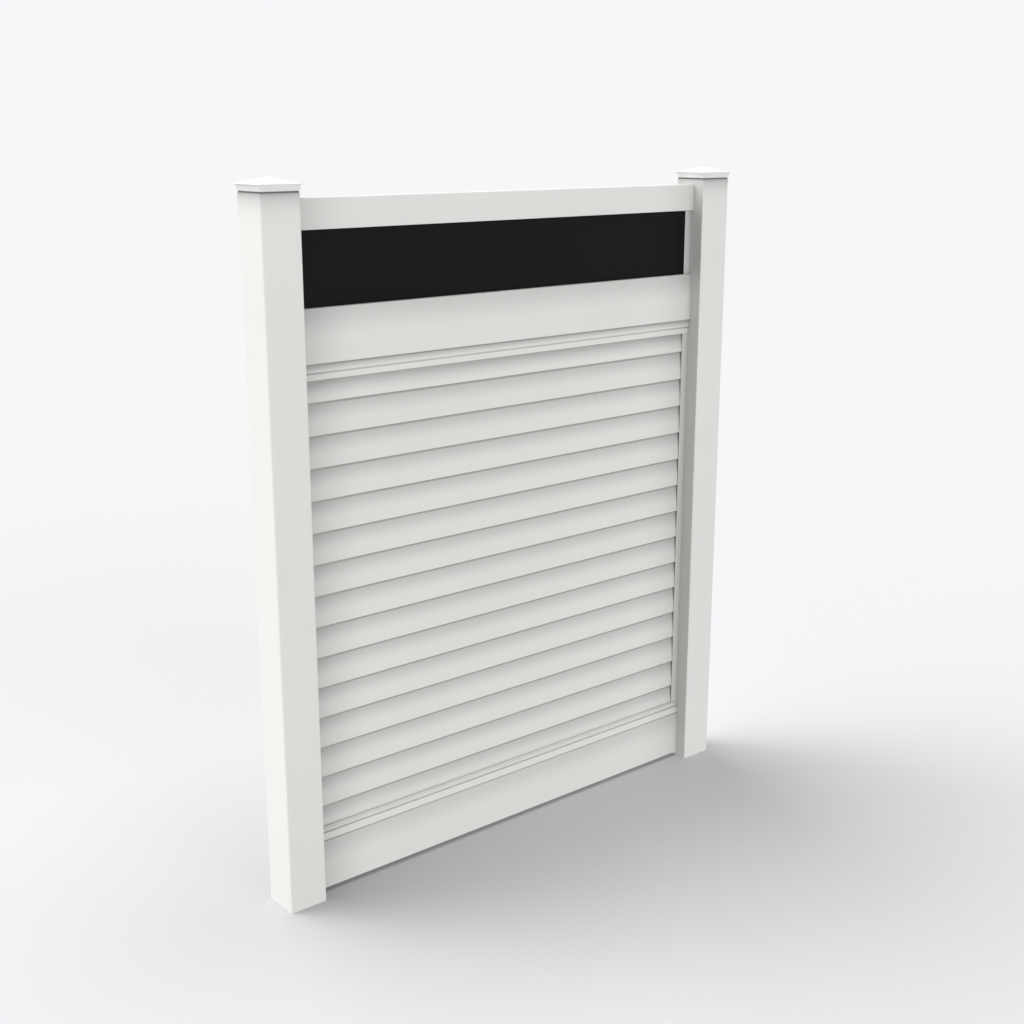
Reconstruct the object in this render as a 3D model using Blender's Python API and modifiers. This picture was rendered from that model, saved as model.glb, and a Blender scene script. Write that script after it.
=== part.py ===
"""Horizontal privacy fence bay in hollow vinyl.

Two square posts carry a plain top rail and two moulded rails. Interlocking louvre slats fill the bay
between the moulded rails, and a black accent panel fills the strip below the top rail. U-channels
screwed to the posts hold the ends of the slats and of the panel.

Metres, +Z up. X runs along the fence, Y through it with the front at -Y, and the origin lies on the
ground at the fence's middle.
"""

import math

import bmesh
import bpy

# Fits
FIT_GAP = 0.0003
CUT_OVERRUN = 0.002
WELD_DISTANCE = 0.000001

# Posts: square tubes, routed on the inner face for each rail
POST_SIDE = 0.127
POST_WALL = 0.0038
POST_CORNER_RADIUS = 0.0055
POST_ABOVE_TOP_RAIL = 0.0172
BAY_WIDTH = 1.6293

# Post caps: a low pyramid over a flared skirt, with a spigot that plugs the post
CAP_WALL = 0.0022
CAP_REVEAL = 0.005
CAP_SKIRT_HEIGHT = 0.0175
CAP_SKIRT_THICKNESS = 0.0022
CAP_FOOT_OVERHANG = 0.0003
CAP_FLARE_OVERHANG = 0.0045
CAP_EAVE_OVERHANG = 0.0075
CAP_EAVE_THICKNESS = 0.0015
CAP_PYRAMID_RISE = 0.0195
CAP_PEAK_HALF = 0.0008
CAP_SPIGOT_CLEARANCE = 0.002
FLARE_STEPS = 4

# Rails: what all three share
RAIL_THICKNESS = 0.0381
RAIL_WALL = 0.0023
RAIL_INSERT = 0.032
FLOOR_CLEARANCE = 0.0135

# Top rail
TOP_RAIL_HEIGHT = 0.0889
TOP_RAIL_EDGE_RADIUS = 0.004
TOP_RAIL_FOOT_RADIUS = 0.002

# Moulded rails: a flat face, a quirk, a coved band, a second quirk and the lips round the slat pocket
MOULDED_RAIL_HEIGHT = 0.21
MOULDED_EDGE_RADIUS = 0.002
LIP_BAND_HEIGHT = 0.022
LIP_THICKNESS = 0.0032
LIP_EDGE_RADIUS = 0.0018
LIP_QUIRK_DEPTH = 0.0012
COVE_BAND_HEIGHT = 0.0265
COVE_FOOT_RECESS = 0.005
COVE_HEAD_RECESS = 0.0008
COVE_SAG = 0.0006
FACE_QUIRK_DEPTH = 0.0016
FACE_EDGE_RADIUS = 0.0008
QUIRK_HEIGHT = 0.0022
POCKET_DEPTH = 0.03
RAIL_RIB_SHARE = 0.46

# Louvre slats: leaning hollow boards, each standing on the one below with a tongue in its slot
SLAT_COUNT = 15
SLAT_PITCH = 0.0984
SLAT_DEPTH = 0.0184
SLAT_LEAN = 0.007
SLAT_WALL = 0.0016
SLAT_LIP_RADIUS = 0.0016
SLAT_CREST_RADIUS = 0.0012
DRIP_DROP = 0.0022
DRIP_THICKNESS = 0.003
TONGUE_THICKNESS = 0.0026
TONGUE_HEIGHT = 0.008
TONGUE_CHAMFER = 0.0006
TOP_SLAT_TRIM = 0.0057
SLAT_RIB_SHARE = 0.55

# Accent strip
ACCENT_OPENING = 0.2205
ACCENT_THICKNESS = 0.0089
ACCENT_WALL = 0.0016
ACCENT_CELL_COUNT = 6
ACCENT_GROOVE_DEPTH = 0.0127

# U-channels
CHANNEL_WALL = 0.0016
CHANNEL_LIP_RADIUS = 0.0007
LOWER_CHANNEL_REACH = 0.028
UPPER_CHANNEL_REACH = 0.0254
BOARD_END_GAP = 0.002

# Pan-head screws that hold the channels to the posts
SCREW_HEAD_RADIUS = 0.0038
SCREW_HEAD_HEIGHT = 0.0024
SCREW_HEAD_CROWN = 0.0009
SCREW_SHANK_RADIUS = 0.0021
SCREW_LENGTH = 0.019
SCREW_POINT = 0.0045
LOWER_SCREW_COUNT = 5
LOWER_SCREW_MARGIN = 0.075
UPPER_SCREW_COUNT = 2
UPPER_SCREW_MARGIN = 0.045

# Stiffener inside the bottom rail
STIFFENER_WALL = 0.0018
STIFFENER_HEIGHT = 0.052
STIFFENER_SETBACK = 0.006

# Facets of the round stretches
CORNER_STEPS = 4
EDGE_STEPS = 3
GROOVE_STEPS = 5
COVE_STEPS = 5
SCREW_FACETS = 12

# Sizes and places that follow from the ones above
POST_CENTRE = (BAY_WIDTH + POST_SIDE) / 2
POST_INNER_RADIUS = max(POST_CORNER_RADIUS - POST_WALL, POST_CORNER_RADIUS / 4)
RAIL_HALF = RAIL_THICKNESS / 2
RAIL_LENGTH = BAY_WIDTH + 2 * RAIL_INSERT
POCKET_HALF = SLAT_DEPTH / 2 + FIT_GAP
LIP_HALF = POCKET_HALF + LIP_THICKNESS
STEP_LEVEL = LIP_BAND_HEIGHT + COVE_BAND_HEIGHT
GROOVE_HALF = ACCENT_THICKNESS / 2 + FIT_GAP
SLAT_SHOULDER = SLAT_PITCH + DRIP_DROP - FIT_GAP
SLAT_CREST = SLAT_SHOULDER - TOP_SLAT_TRIM
SLAT_STACK = (SLAT_COUNT - 1) * SLAT_PITCH + SLAT_CREST
LOUVRE_OPENING = SLAT_STACK + 2 * FIT_GAP - 2 * POCKET_DEPTH
BOTTOM_RAIL_FOOT = FLOOR_CLEARANCE
BOTTOM_RAIL_TOP = BOTTOM_RAIL_FOOT + MOULDED_RAIL_HEIGHT
MID_RAIL_FOOT = BOTTOM_RAIL_TOP + LOUVRE_OPENING
MID_RAIL_TOP = MID_RAIL_FOOT + MOULDED_RAIL_HEIGHT
TOP_RAIL_FOOT = MID_RAIL_TOP + ACCENT_OPENING
TOP_RAIL_TOP = TOP_RAIL_FOOT + TOP_RAIL_HEIGHT
POST_HEIGHT = TOP_RAIL_TOP + POST_ABOVE_TOP_RAIL
SCREW_SEAT = BAY_WIDTH / 2 - 2 * FIT_GAP - CHANNEL_WALL
BOARD_LENGTH = 2 * (SCREW_SEAT - SCREW_HEAD_HEIGHT - BOARD_END_GAP)

QUARTER = math.pi / 2


def clear_scene():
    """Removes what the opening file holds, so that the fence stands alone."""
    for old in list(bpy.data.objects):
        bpy.data.objects.remove(old)


def new_collection(name):
    collection = bpy.data.collections.new(name)
    bpy.context.scene.collection.children.link(collection)
    return collection


clear_scene()
FENCE = new_collection("horizontal_privacy_fence")
CUTTERS = new_collection("cutters")


def finish(name, colour, roughness, metallic=0.0):
    """A Principled material of one colour."""
    material = bpy.data.materials.new(name)
    material.use_nodes = True
    shader = material.node_tree.nodes["Principled BSDF"]
    shader.inputs["Base Color"].default_value = (*colour, 1.0)
    shader.inputs["Roughness"].default_value = roughness
    shader.inputs["Metallic"].default_value = metallic
    material.diffuse_color = (*colour, 1.0)
    return material


WHITE_VINYL = finish("white_vinyl", (0.76, 0.76, 0.75), 0.42)
CAP_VINYL = finish("cap_vinyl", (0.80, 0.80, 0.79), 0.36)
BLACK_VINYL = finish("black_vinyl", (0.012, 0.011, 0.012), 0.5)
MILL_ALUMINIUM = finish("mill_aluminium", (0.62, 0.63, 0.64), 0.38, 1.0)
SCREW_STEEL = finish("screw_steel", (0.55, 0.56, 0.57), 0.3, 1.0)


def paint(solid, material):
    solid.data.materials.clear()
    solid.data.materials.append(material)
    return solid


# Outlines

def arc(centre, radius, start, end, steps):
    """Points on a circle from one angle to another, both ends included."""
    angles = [start + (end - start) * step / steps for step in range(steps + 1)]
    return [(centre[0] + radius * math.cos(a), centre[1] + radius * math.sin(a)) for a in angles]


def mirrored(half):
    """A closed outline from the half of it on the positive side, listed from end to end."""
    return half + [(-across, up) for across, up in reversed(half)]


def turned_over(outline, height):
    """An outline upside down within its own height."""
    return [(across, height - up) for across, up in outline]


def rounded_square(half, radius):
    """A square outline with round corners."""
    reach = half - radius
    corners = [(reach, reach), (-reach, reach), (-reach, -reach), (reach, -reach)]
    points = []
    for turn, corner in enumerate(corners):
        start = turn * QUARTER
        points += arc(corner, radius, start, start + QUARTER, CORNER_STEPS)
    return points


# Extruded pieces and their cuts

def weld(mesh):
    """Joins the loose caps of a filled curve to its walls and turns the faces outward."""
    cage = bmesh.new()
    cage.from_mesh(mesh)
    bmesh.ops.remove_doubles(cage, verts=cage.verts, dist=WELD_DISTANCE)
    bmesh.ops.recalc_face_normals(cage, faces=cage.faces)
    cage.to_mesh(mesh)
    cage.free()


def extrusion(name, outlines, length, collection):
    """A hollow bar: the first outline is its outside and the others are its chambers.

    The section lies in the local XY plane, and the length is centred along local Z.
    """
    section = bpy.data.curves.new(name + "_section", "CURVE")
    section.dimensions = "2D"
    section.fill_mode = "BOTH"
    section.extrude = length / 2
    for outline in outlines:
        spline = section.splines.new("POLY")
        spline.points.add(len(outline) - 1)
        for point, (across, up) in zip(spline.points, outline):
            point.co = (across, up, 0.0, 1.0)
        spline.use_cyclic_u = True
    bar = bpy.data.objects.new(name + "_section", section)
    collection.objects.link(bar)
    graph = bpy.context.evaluated_depsgraph_get()
    mesh = bpy.data.meshes.new_from_object(bar.evaluated_get(graph))
    mesh.name = name
    weld(mesh)
    solid = bpy.data.objects.new(name, mesh)
    solid.matrix_world = bar.matrix_world
    collection.objects.link(solid)
    bpy.data.objects.remove(bar)
    return solid


def lay_along_x(bar, foot):
    """Turns an extrusion so that its length runs along X, its section standing at a height."""
    bar.rotation_euler = (QUARTER, 0.0, QUARTER)
    bar.location = (0.0, 0.0, foot)


def as_cutter(solid):
    """Hides a solid that only cuts others."""
    solid.hide_render = True
    solid.display_type = "WIRE"
    return solid


def cut(target, cutter):
    """Takes a cutter away from a solid."""
    hole = target.modifiers.new(cutter.name, "BOOLEAN")
    hole.operation = "DIFFERENCE"
    hole.solver = "EXACT"
    hole.object = cutter


# Moulded rails, drawn with the slat pocket at the foot of the section

def cove_half(level):
    """Half thickness of the coved band's chord at a level between the lips and the face."""
    foot = RAIL_HALF - COVE_FOOT_RECESS
    head = RAIL_HALF - COVE_HEAD_RECESS
    return foot + (head - foot) * (level - LIP_BAND_HEIGHT) / COVE_BAND_HEIGHT


def quirk(edge, head, depth):
    """A half-round groove in a vertical side, listed from its foot to its head."""
    points = []
    for step in range(GROOVE_STEPS + 1):
        angle = math.pi * step / GROOVE_STEPS - QUARTER
        up = head - QUIRK_HEIGHT / 2 * (1 - math.sin(angle))
        points.append((edge - depth * math.cos(angle), up))
    return points


def cove():
    """The hollow-curved band, listed from the lips to the quirk below the face."""
    points = []
    for step in range(COVE_STEPS + 1):
        share = step / COVE_STEPS
        level = LIP_BAND_HEIGHT + (COVE_BAND_HEIGHT - QUIRK_HEIGHT) * share
        points.append((cove_half(level) - COVE_SAG * 4 * share * (1 - share), level))
    return points


def moulded_side():
    """The outer side of a moulded rail, from the foot of a lip to the far edge of the face."""
    lip_centre = (LIP_HALF - LIP_EDGE_RADIUS, LIP_EDGE_RADIUS)
    face_centre = (RAIL_HALF - FACE_EDGE_RADIUS, STEP_LEVEL + FACE_EDGE_RADIUS)
    far_centre = (RAIL_HALF - MOULDED_EDGE_RADIUS, MOULDED_RAIL_HEIGHT - MOULDED_EDGE_RADIUS)
    side = arc(lip_centre, LIP_EDGE_RADIUS, -QUARTER, 0.0, EDGE_STEPS)
    side += quirk(LIP_HALF, LIP_BAND_HEIGHT, LIP_QUIRK_DEPTH)
    side += cove()
    side += quirk(cove_half(STEP_LEVEL - QUIRK_HEIGHT), STEP_LEVEL, FACE_QUIRK_DEPTH)[1:]
    side += arc(face_centre, FACE_EDGE_RADIUS, -QUARTER, 0.0, EDGE_STEPS)
    side += arc(far_centre, MOULDED_EDGE_RADIUS, 0.0, QUARTER, EDGE_STEPS)
    return side


def chamber_side(low, high):
    """Half widths of the hollow from one level to another, a wall inside the moulded side."""
    inner = RAIL_HALF - RAIL_WALL
    ledge = STEP_LEVEL + RAIL_WALL
    if low >= ledge:
        return [(inner, low), (inner, high)]
    foot = cove_half(low) - COVE_SAG - RAIL_WALL
    neck = cove_half(STEP_LEVEL) - FACE_QUIRK_DEPTH - RAIL_WALL
    return [(min(foot, neck), low), (neck, ledge), (inner, ledge), (inner, high)]


def moulded_rail_section(accent_groove):
    """Outside and two chambers of a moulded rail, parted by a rib."""
    pocket = [(POCKET_HALF, POCKET_DEPTH), (POCKET_HALF, 0.0)]
    floor = POCKET_DEPTH + RAIL_WALL
    ceiling = MOULDED_RAIL_HEIGHT - RAIL_WALL
    rib = floor + (ceiling - floor) * RAIL_RIB_SHARE
    upper = chamber_side(rib + RAIL_WALL, ceiling)
    groove = []
    if accent_groove:
        groove_floor = MOULDED_RAIL_HEIGHT - ACCENT_GROOVE_DEPTH
        groove = [(GROOVE_HALF, MOULDED_RAIL_HEIGHT), (GROOVE_HALF, groove_floor)]
        liner = GROOVE_HALF + RAIL_WALL
        upper += [(liner, ceiling), (liner, groove_floor - RAIL_WALL)]
    outside = mirrored(pocket + moulded_side() + groove)
    return [outside, mirrored(chamber_side(floor, rib)), mirrored(upper)]


def moulded_route_section():
    """The hole routed in a post for a moulded rail: its outside, a fit gap larger."""
    slant = math.hypot(COVE_FOOT_RECESS - COVE_HEAD_RECESS, COVE_BAND_HEIGHT) / COVE_BAND_HEIGHT
    far_centre = (RAIL_HALF - MOULDED_EDGE_RADIUS, MOULDED_RAIL_HEIGHT - MOULDED_EDGE_RADIUS)
    half = [
        (LIP_HALF + FIT_GAP, -FIT_GAP),
        (LIP_HALF + FIT_GAP, LIP_BAND_HEIGHT - FIT_GAP),
        (cove_half(LIP_BAND_HEIGHT) + FIT_GAP * slant, LIP_BAND_HEIGHT - FIT_GAP),
        (cove_half(STEP_LEVEL) + FIT_GAP * slant, STEP_LEVEL - FIT_GAP),
        (RAIL_HALF + FIT_GAP, STEP_LEVEL - FIT_GAP),
    ]
    half += arc(far_centre, MOULDED_EDGE_RADIUS + FIT_GAP, 0.0, QUARTER, EDGE_STEPS)
    return mirrored(half)


def make_mid_rail():
    """The moulded rail above the slats. Its top is grooved for the accent panel."""
    rail = extrusion("mid_rail", moulded_rail_section(True), RAIL_LENGTH, FENCE)
    lay_along_x(paint(rail, WHITE_VINYL), MID_RAIL_FOOT)


def make_bottom_rail():
    """The moulded rail below the slats, upside down so that its pocket opens upward."""
    outlines = [turned_over(outline, MOULDED_RAIL_HEIGHT) for outline in moulded_rail_section(False)]
    rail = extrusion("bottom_rail", outlines, RAIL_LENGTH, FENCE)
    lay_along_x(paint(rail, WHITE_VINYL), BOTTOM_RAIL_FOOT)


def make_stiffener():
    """The aluminium U that stands on the floor of the bottom rail's lower chamber."""
    half = RAIL_HALF - RAIL_WALL - FIT_GAP
    inner = half - STIFFENER_WALL
    legs = [
        (half, 0.0),
        (half, STIFFENER_HEIGHT),
        (inner, STIFFENER_HEIGHT),
        (inner, STIFFENER_WALL),
    ]
    length = RAIL_LENGTH - 2 * STIFFENER_SETBACK
    bar = extrusion("bottom_rail_stiffener", [mirrored(legs)], length, FENCE)
    lay_along_x(paint(bar, MILL_ALUMINIUM), BOTTOM_RAIL_FOOT + RAIL_WALL + FIT_GAP)


# Top rail, with the accent groove at the foot of its section

def top_rail_side(growth):
    """The outer side of the top rail, from foot to head, grown all round by an allowance."""
    foot_centre = (RAIL_HALF - TOP_RAIL_FOOT_RADIUS, TOP_RAIL_FOOT_RADIUS)
    head_centre = (RAIL_HALF - TOP_RAIL_EDGE_RADIUS, TOP_RAIL_HEIGHT - TOP_RAIL_EDGE_RADIUS)
    foot = arc(foot_centre, TOP_RAIL_FOOT_RADIUS + growth, -QUARTER, 0.0, EDGE_STEPS)
    head = arc(head_centre, TOP_RAIL_EDGE_RADIUS + growth, 0.0, QUARTER, CORNER_STEPS)
    return foot + head


def make_top_rail():
    """The plain rail across the top. Its chamber wraps round the accent groove."""
    groove = [(GROOVE_HALF, ACCENT_GROOVE_DEPTH), (GROOVE_HALF, 0.0)]
    inner = RAIL_HALF - RAIL_WALL
    liner = GROOVE_HALF + RAIL_WALL
    chamber = [
        (liner, ACCENT_GROOVE_DEPTH + RAIL_WALL),
        (liner, RAIL_WALL),
        (inner, RAIL_WALL),
        (inner, TOP_RAIL_HEIGHT - TOP_RAIL_EDGE_RADIUS),
        (inner - TOP_RAIL_EDGE_RADIUS / 2, TOP_RAIL_HEIGHT - RAIL_WALL),
    ]
    outlines = [mirrored(groove + top_rail_side(0.0)), mirrored(chamber)]
    rail = extrusion("top_rail", outlines, RAIL_LENGTH, FENCE)
    lay_along_x(paint(rail, WHITE_VINYL), TOP_RAIL_FOOT)


# Louvre slats

def slat_front(level):
    """Where the leaning front face is, across the fence, at a level above the slat's lip."""
    return SLAT_LEAN * level / (SLAT_PITCH + DRIP_DROP) - SLAT_DEPTH / 2


def slat_back(level):
    """Where the back face is, parallel to the front one."""
    return slat_front(level) + SLAT_DEPTH - SLAT_LEAN


def slat_foot(slot_front, slot_back):
    """The underside: the back corner, the slot, the drip and the round lip in front."""
    lip_centre = (SLAT_LIP_RADIUS - SLAT_DEPTH / 2, SLAT_LIP_RADIUS)
    slot_top = DRIP_DROP + TONGUE_HEIGHT
    drip_back = DRIP_THICKNESS - SLAT_DEPTH / 2
    foot = [
        (slat_back(DRIP_DROP), DRIP_DROP),
        (slot_back, DRIP_DROP),
        (slot_back, slot_top),
        (slot_front, slot_top),
        (slot_front, DRIP_DROP),
        (drip_back, DRIP_DROP),
        (drip_back, 0.0),
    ]
    return foot + arc(lip_centre, SLAT_LIP_RADIUS, -QUARTER, -2 * QUARTER, EDGE_STEPS)


def slat_head():
    """The top of a full slat: the tongue, flush with the front face, and the round back corner."""
    tongue_front = slat_front(SLAT_SHOULDER)
    tongue_back = tongue_front + TONGUE_THICKNESS
    tip = SLAT_SHOULDER + TONGUE_HEIGHT
    crest_centre = (slat_back(SLAT_SHOULDER) - SLAT_CREST_RADIUS, SLAT_SHOULDER - SLAT_CREST_RADIUS)
    head = [
        (tongue_front, SLAT_SHOULDER),
        (tongue_front, tip - TONGUE_CHAMFER),
        (tongue_front + TONGUE_CHAMFER, tip),
        (tongue_back - TONGUE_CHAMFER, tip),
        (tongue_back, tip - TONGUE_CHAMFER),
        (tongue_back, SLAT_SHOULDER),
    ]
    return head + arc(crest_centre, SLAT_CREST_RADIUS, QUARTER, 0.0, EDGE_STEPS)


def slat_lower_chamber(slot_front, rib):
    """The hollow below the rib, stepped round the slot."""
    floor = DRIP_DROP + SLAT_WALL
    above_slot = floor + TONGUE_HEIGHT
    return [
        (slat_front(floor) + SLAT_WALL, floor),
        (slat_front(rib) + SLAT_WALL, rib),
        (slat_back(rib) - SLAT_WALL, rib),
        (slat_back(above_slot) - SLAT_WALL, above_slot),
        (slot_front - SLAT_WALL, above_slot),
        (slot_front - SLAT_WALL, floor),
    ]


def slat_upper_chamber(floor, ceiling):
    """The hollow above the rib."""
    return [
        (slat_back(ceiling) - SLAT_WALL, ceiling),
        (slat_back(floor) - SLAT_WALL, floor),
        (slat_front(floor) + SLAT_WALL, floor),
        (slat_front(ceiling) + SLAT_WALL, ceiling),
    ]


def slat_section(trimmed):
    """Outside and chambers of a slat. The trimmed one is ripped open through its upper chamber."""
    slot_front = slat_front(SLAT_SHOULDER) - FIT_GAP
    slot_back = slot_front + TONGUE_THICKNESS + 2 * FIT_GAP
    rib = SLAT_SHOULDER * SLAT_RIB_SHARE
    foot = slat_foot(slot_front, slot_back)
    lower = slat_lower_chamber(slot_front, rib)
    if trimmed:
        trough = slat_upper_chamber(rib + SLAT_WALL, SLAT_CREST)
        back_edge = [(slat_back(SLAT_CREST), SLAT_CREST)]
        front_edge = [(slat_front(SLAT_CREST), SLAT_CREST)]
        return [foot + front_edge + trough[::-1] + back_edge, lower]
    upper = slat_upper_chamber(rib + SLAT_WALL, SLAT_SHOULDER - SLAT_WALL)
    return [foot + slat_head(), lower, upper]


def make_slats():
    """Stacks the slats, counted from the top, from the bottom rail's pocket into the mid rail's."""
    lowest = BOTTOM_RAIL_TOP - POCKET_DEPTH + FIT_GAP
    for number in range(1, SLAT_COUNT + 1):
        slat = extrusion(f"louvre_slat_{number:02d}", slat_section(number == 1), BOARD_LENGTH, FENCE)
        lay_along_x(paint(slat, WHITE_VINYL), lowest + (SLAT_COUNT - number) * SLAT_PITCH)


# Accent panel

def make_accent_panel():
    """The black multiwall panel, its lengthwise edges in the grooves of the two rails."""
    height = ACCENT_OPENING + 2 * ACCENT_GROOVE_DEPTH - 2 * FIT_GAP
    half = ACCENT_THICKNESS / 2
    inner = half - ACCENT_WALL
    cell = (height - ACCENT_WALL) / ACCENT_CELL_COUNT
    outlines = [mirrored([(half, 0.0), (half, height)])]
    for number in range(ACCENT_CELL_COUNT):
        foot = ACCENT_WALL + number * cell
        outlines.append(mirrored([(inner, foot), (inner, foot + cell - ACCENT_WALL)]))
    panel = extrusion("accent_panel", outlines, BOARD_LENGTH, FENCE)
    lay_along_x(paint(panel, BLACK_VINYL), MID_RAIL_TOP - ACCENT_GROOVE_DEPTH + FIT_GAP)


# U-channels and their screws, made for one side of the bay at a time

def channel_section(side, thickness, reach):
    """A U in plan: its web on the post's face and its flanges towards the bay's middle."""
    half = thickness / 2
    lip_centre = (half - CHANNEL_LIP_RADIUS, CHANNEL_LIP_RADIUS - reach)
    flange = [(half, 0.0)]
    flange += arc(lip_centre, CHANNEL_LIP_RADIUS, 0.0, -QUARTER, EDGE_STEPS)
    flange += [(half - CHANNEL_WALL, -reach), (half - CHANNEL_WALL, -CHANNEL_WALL)]
    return [(side * along, across) for across, along in mirrored(flange)]


def make_channel(name, side, foot, opening, board, reach, pilots):
    """One U-channel standing between two rails, a clearance wider than the board it holds."""
    section = channel_section(side, board + 2 * (CHANNEL_WALL + FIT_GAP), reach)
    channel = extrusion(name, [section], opening - 2 * FIT_GAP, FENCE)
    channel.location = (side * (BAY_WIDTH / 2 - FIT_GAP), 0.0, foot + opening / 2)
    for pilot in pilots:
        cut(channel, pilot)
    paint(channel, WHITE_VINYL)


def screw_profile():
    """Half section of a screw, down its outer side from the head's crown to the point."""
    return [
        (0.0, SCREW_HEAD_HEIGHT),
        (SCREW_HEAD_RADIUS - SCREW_HEAD_CROWN, SCREW_HEAD_HEIGHT),
        (SCREW_HEAD_RADIUS, SCREW_HEAD_HEIGHT - SCREW_HEAD_CROWN),
        (SCREW_HEAD_RADIUS, 0.0),
        (SCREW_SHANK_RADIUS, 0.0),
        (SCREW_SHANK_RADIUS, SCREW_POINT - SCREW_LENGTH),
        (0.0, -SCREW_LENGTH),
    ]


def screw_mesh():
    """The profile that every screw turns about its own axis."""
    mesh = bpy.data.meshes.new("screw_profile")
    points = [(radius, 0.0, along) for radius, along in screw_profile()]
    mesh.from_pydata(points, [(i, i + 1) for i in range(len(points) - 1)], [])
    mesh.materials.append(SCREW_STEEL)
    return mesh


SCREW_MESH = screw_mesh()


def make_screw(name, side, level):
    """A screw driven outward through a channel's web into the post."""
    screw = bpy.data.objects.new(name, SCREW_MESH)
    FENCE.objects.link(screw)
    turn = screw.modifiers.new("turn", "SCREW")
    turn.steps = SCREW_FACETS
    turn.render_steps = SCREW_FACETS
    turn.use_merge_vertices = True
    turn.merge_threshold = WELD_DISTANCE
    screw.rotation_euler = (0.0, -side * QUARTER, 0.0)
    screw.location = (side * SCREW_SEAT, 0.0, level)


def make_pilot(name, side, level):
    """The hole that one screw passes, through the channel's web and the post's wall."""
    bpy.ops.mesh.primitive_cylinder_add(
        vertices=SCREW_FACETS,
        radius=SCREW_SHANK_RADIUS + FIT_GAP,
        depth=CHANNEL_WALL + FIT_GAP + POST_WALL + 2 * CUT_OVERRUN,
        rotation=(0.0, QUARTER, 0.0),
        location=(side * (BAY_WIDTH - CHANNEL_WALL - FIT_GAP + POST_WALL) / 2, 0.0, level),
    )
    pilot = bpy.context.active_object
    pilot.name = name
    for owner in list(pilot.users_collection):
        owner.objects.unlink(pilot)
    CUTTERS.objects.link(pilot)
    return as_cutter(pilot)


def screw_levels(foot, opening, margin, count):
    """Heights of a channel's screws, evenly spread between its end margins."""
    spread = opening - 2 * margin
    return [foot + margin + spread * number / (count - 1) for number in range(count)]


def make_channel_set(word, side, foot, opening, board, reach, levels):
    """A channel with its screws, and the pilot holes that the post needs as well."""
    pilots = []
    for number, level in enumerate(levels, 1):
        pilots.append(make_pilot(f"{word}_channel_pilot_{number}", side, level))
        make_screw(f"{word}_channel_screw_{number}", side, level)
    make_channel(f"{word}_channel", side, foot, opening, board, reach, pilots)
    return pilots


# Posts

def make_route(name, side, section, foot):
    """A hole through the inner wall of a post, shaped to a rail's section."""
    route = extrusion(name, [section], POST_WALL + 2 * CUT_OVERRUN, CUTTERS)
    lay_along_x(route, foot)
    route.location.x = side * (BAY_WIDTH + POST_WALL) / 2
    return as_cutter(route)


def make_post(word, side, pilots):
    """A hollow post with its three routed holes and its pilot holes."""
    outside = rounded_square(POST_SIDE / 2, POST_CORNER_RADIUS)
    inside = rounded_square(POST_SIDE / 2 - POST_WALL, POST_INNER_RADIUS)
    post = extrusion(f"{word}_post", [outside, inside], POST_HEIGHT, FENCE)
    post.location = (side * POST_CENTRE, 0.0, POST_HEIGHT / 2)
    moulded = moulded_route_section()
    upturned = turned_over(moulded, MOULDED_RAIL_HEIGHT)
    routes = [
        make_route(f"{word}_top_route", side, mirrored(top_rail_side(FIT_GAP)), TOP_RAIL_FOOT),
        make_route(f"{word}_mid_route", side, moulded, MID_RAIL_FOOT),
        make_route(f"{word}_bottom_route", side, upturned, BOTTOM_RAIL_FOOT),
    ]
    for cutter in routes + pilots:
        cut(post, cutter)
    paint(post, WHITE_VINYL)


# Post caps

def cap_skirt_rings():
    """The flared skirt, from under the eave down to its foot, as half widths and heights."""
    rings = []
    for step in range(FLARE_STEPS, -1, -1):
        share = step / FLARE_STEPS
        overhang = CAP_FOOT_OVERHANG + (CAP_FLARE_OVERHANG - CAP_FOOT_OVERHANG) * share ** 2
        rings.append((POST_SIDE / 2 + overhang, CAP_SKIRT_HEIGHT * share))
    return rings


def cap_rings():
    """Half width, height above the skirt's foot and corner radius of each ring of the shell.

    They run from the peak down the outside to the spigot's foot, and up the inside again.
    """
    eave = POST_SIDE / 2 + CAP_EAVE_OVERHANG
    eave_top = CAP_SKIRT_HEIGHT + CAP_EAVE_THICKNESS
    peak = eave_top + CAP_PYRAMID_RISE
    neck = POST_SIDE / 2 - CAP_SKIRT_THICKNESS
    shoulder = FIT_GAP - CAP_REVEAL
    spigot = POST_SIDE / 2 - POST_WALL - FIT_GAP
    spigot_foot = CAP_SPIGOT_CLEARANCE - POST_ABOVE_TOP_RAIL - CAP_REVEAL
    bore = spigot - CAP_WALL
    rings = [(CAP_PEAK_HALF, peak, CAP_PEAK_HALF / 2), (eave, eave_top, POST_CORNER_RADIUS)]
    rings.append((eave, CAP_SKIRT_HEIGHT, POST_CORNER_RADIUS))
    rings += [(half, height, POST_CORNER_RADIUS) for half, height in cap_skirt_rings()]
    rings.append((neck, 0.0, POST_CORNER_RADIUS / 2))
    rings.append((neck, shoulder, POST_CORNER_RADIUS / 2))
    rings.append((spigot, shoulder, POST_INNER_RADIUS))
    rings.append((spigot, spigot_foot, POST_INNER_RADIUS))
    rings.append((bore, spigot_foot, POST_INNER_RADIUS))
    rings.append((bore, eave_top - CAP_WALL, POST_INNER_RADIUS))
    rings.append((CAP_PEAK_HALF, peak - CAP_WALL, CAP_PEAK_HALF / 2))
    return rings


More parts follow.
